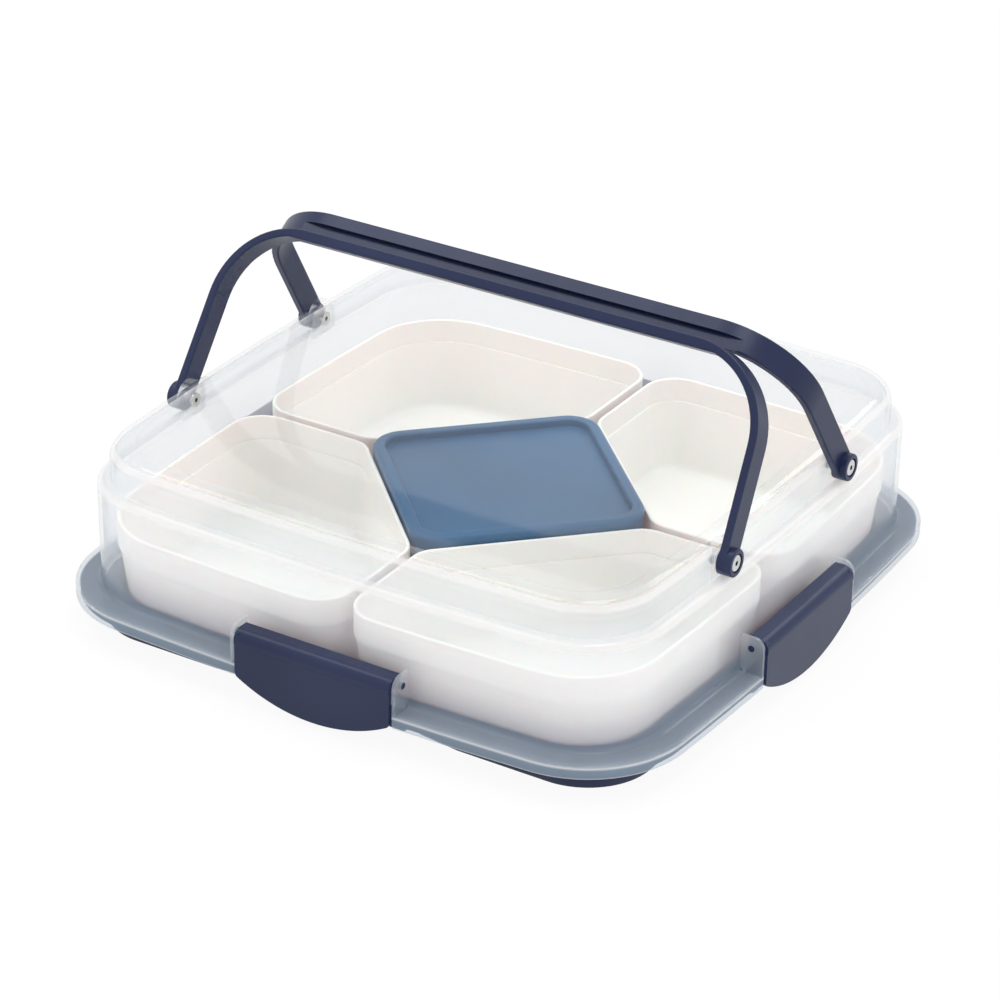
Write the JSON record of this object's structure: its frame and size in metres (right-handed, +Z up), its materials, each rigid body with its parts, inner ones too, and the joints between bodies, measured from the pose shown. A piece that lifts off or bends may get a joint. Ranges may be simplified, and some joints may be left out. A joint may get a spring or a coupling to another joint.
{
  "type": "party food carrier",
  "caption": "Square food carrier: tray with corner bowls and a lidded dip cup under a translucent lift-off cover with side latches and folding carry handles.",
  "frame": {"origin": "centre of the base tray's standing face", "axes": "+Z up, front latch towards -Y, handle pivots on the +X and -X sides"},
  "size_m": [0.3716, 0.3716, 0.1821],
  "materials": {
    "navy_plastic": "navy polypropylene with a soft satin sheen",
    "frosted_cover": "translucent natural polypropylene, lightly frosted",
    "bowl_plastic": "opaque warm white polypropylene, satin",
    "cup_lid_plastic": "soft slate blue polyethylene, satin",
    "rivet_metal": "bright rolled steel"
  },
  "bodies": {
    "base": {"base_tray": "navy_plastic"},
    "cover": {"lid_cover": "frosted_cover", "rivet_front_left": "rivet_metal", "rivet_front_right": "rivet_metal", "rivet_rear_right": "rivet_metal", "rivet_rear_left": "rivet_metal"},
    "front_latch": {"latch_front": "navy_plastic"},
    "right_latch": {"latch_right": "navy_plastic"},
    "rear_latch": {"latch_rear": "navy_plastic"},
    "left_latch": {"latch_left": "navy_plastic"},
    "front_handle": {"handle_front": "navy_plastic"},
    "rear_handle": {"handle_rear": "navy_plastic"},
    "front_left_bowl": {"bowl_front_left": "bowl_plastic"},
    "front_right_bowl": {"bowl_front_right": "bowl_plastic"},
    "rear_right_bowl": {"bowl_rear_right": "bowl_plastic"},
    "rear_left_bowl": {"bowl_rear_left": "bowl_plastic"},
    "cup": {"dip_cup": "bowl_plastic"},
    "cup_lid": {"dip_cup_lid": "cup_lid_plastic"}
  },
  "joints": [
    {"name": "cover_lift", "type": "slide", "parent": "base", "child": "cover", "axis": [0, 0, 1], "range_m": [0, 0.26]},
    {"name": "front_latch_hinge", "type": "hinge", "parent": "cover", "child": "front_latch", "pos_m": [0, -0.1778, 0.038], "axis": [-1, 0, 0], "range_deg": [0, 85]},
    {"name": "right_latch_hinge", "type": "hinge", "parent": "cover", "child": "right_latch", "pos_m": [0.1778, 0, 0.038], "axis": [0, -1, 0], "range_deg": [0, 85]},
    {"name": "rear_latch_hinge", "type": "hinge", "parent": "cover", "child": "rear_latch", "pos_m": [0, 0.1778, 0.038], "axis": [1, 0, 0], "range_deg": [0, 85]},
    {"name": "left_latch_hinge", "type": "hinge", "parent": "cover", "child": "left_latch", "pos_m": [-0.1778, 0, 0.038], "axis": [0, 1, 0], "range_deg": [0, 85]},
    {"name": "front_handle_hinge", "type": "hinge", "parent": "cover", "child": "front_handle", "pos_m": [0, -0.062, 0.0912], "axis": [1, 0, 0], "range_deg": [0, 109]},
    {"name": "rear_handle_hinge", "type": "hinge", "parent": "cover", "child": "rear_handle", "pos_m": [0, 0.062, 0.0912], "axis": [-1, 0, 0], "range_deg": [0, 109]},
    {"name": "front_left_bowl_lift", "type": "slide", "parent": "base", "child": "front_left_bowl", "axis": [0, 0, 1], "range_m": [0, 0.1]},
    {"name": "front_right_bowl_lift", "type": "slide", "parent": "base", "child": "front_right_bowl", "axis": [0, 0, 1], "range_m": [0, 0.1]},
    {"name": "rear_right_bowl_lift", "type": "slide", "parent": "base", "child": "rear_right_bowl", "axis": [0, 0, 1], "range_m": [0, 0.1]},
    {"name": "rear_left_bowl_lift", "type": "slide", "parent": "base", "child": "rear_left_bowl", "axis": [0, 0, 1], "range_m": [0, 0.1]},
    {"name": "cup_lift", "type": "slide", "parent": "base", "child": "cup", "axis": [0, 0, 1], "range_m": [0, 0.16]},
    {"name": "cup_lid_lift", "type": "slide", "parent": "cup", "child": "cup_lid", "axis": [0, 0, 1], "range_m": [0, 0.035]}
  ],
  "couplings": [
    {"joint": "front_left_bowl_lift", "follows": "cover_lift", "ratio": 0.35},
    {"joint": "front_right_bowl_lift", "follows": "cover_lift", "ratio": 0.35},
    {"joint": "rear_right_bowl_lift", "follows": "cover_lift", "ratio": 0.35},
    {"joint": "rear_left_bowl_lift", "follows": "cover_lift", "ratio": 0.35},
    {"joint": "cup_lift", "follows": "cover_lift", "ratio": 0.6},
    {"joint": "cup_lid_lift", "follows": "cover_lift", "ratio": 0.12}
  ]
}
